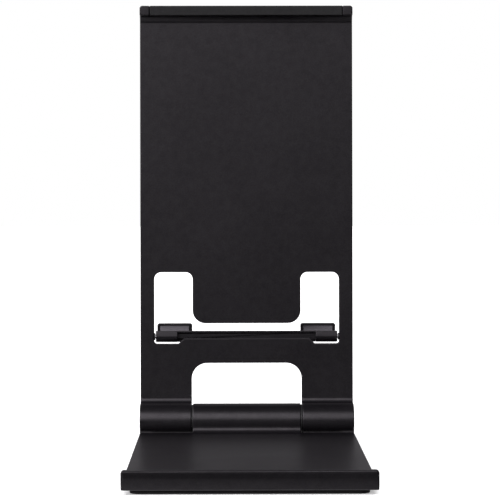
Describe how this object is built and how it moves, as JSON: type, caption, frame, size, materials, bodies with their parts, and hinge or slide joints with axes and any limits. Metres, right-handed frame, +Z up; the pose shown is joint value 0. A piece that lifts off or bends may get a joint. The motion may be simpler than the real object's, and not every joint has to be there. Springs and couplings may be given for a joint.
{
  "type": "phone stand",
  "caption": "Folding clamshell stand for a phone: slim base plate, back panel on a friction hinge, and a padded cradle that swings out of the panel.",
  "frame": {"origin": "centre of the foot pad's underside, on the surface that the stand rests on", "axes": "+X is the stand's width, +Y points to the side where the phone stands, +Z is up"},
  "size_m": [0.075, 0.1717, 0.1527],
  "materials": {
    "anodised": "black anodised, fine bead-blasted matte",
    "silicone": "matte black silicone",
    "grey_silicone": "matte dark grey silicone",
    "nylon": "moulded black nylon",
    "steel": "ground bright steel",
    "blackened_steel": "black oxide"
  },
  "bodies": {
    "base": {"base_plate": "anodised", "base_foot_pad": "silicone", "flange_bush_left": "nylon", "flange_bush_right": "nylon", "friction_clips_left": "steel", "friction_clips_right": "steel"},
    "panel": {"back_panel": "anodised", "top_bumper_strip": "silicone", "backrest_pad": "silicone", "hinge_shaft_left": "steel", "hinge_shaft_right": "steel", "hinge_set_screws": "blackened_steel", "hinge_end_cap_left": "nylon", "hinge_end_cap_right": "nylon", "cradle_pin_left": "steel", "cradle_pin_right": "steel", "cradle_washer_left": "nylon", "cradle_washer_right": "nylon"},
    "cradle": {"phone_cradle": "anodised", "hook_pad_left": "grey_silicone", "hook_pad_right": "grey_silicone"}
  },
  "joints": [
    {"name": "panel_fold", "type": "hinge", "parent": "base", "child": "panel", "pos_m": [0, 0.07328, 0.0071], "axis": [1, 0, 0], "range_deg": [-53, 92]},
    {"name": "cradle_fold", "type": "hinge", "parent": "panel", "child": "cradle", "pos_m": [0, 0.07919, 0.03606], "axis": [1, 0, 0], "range_deg": [0, 90]}
  ]
}
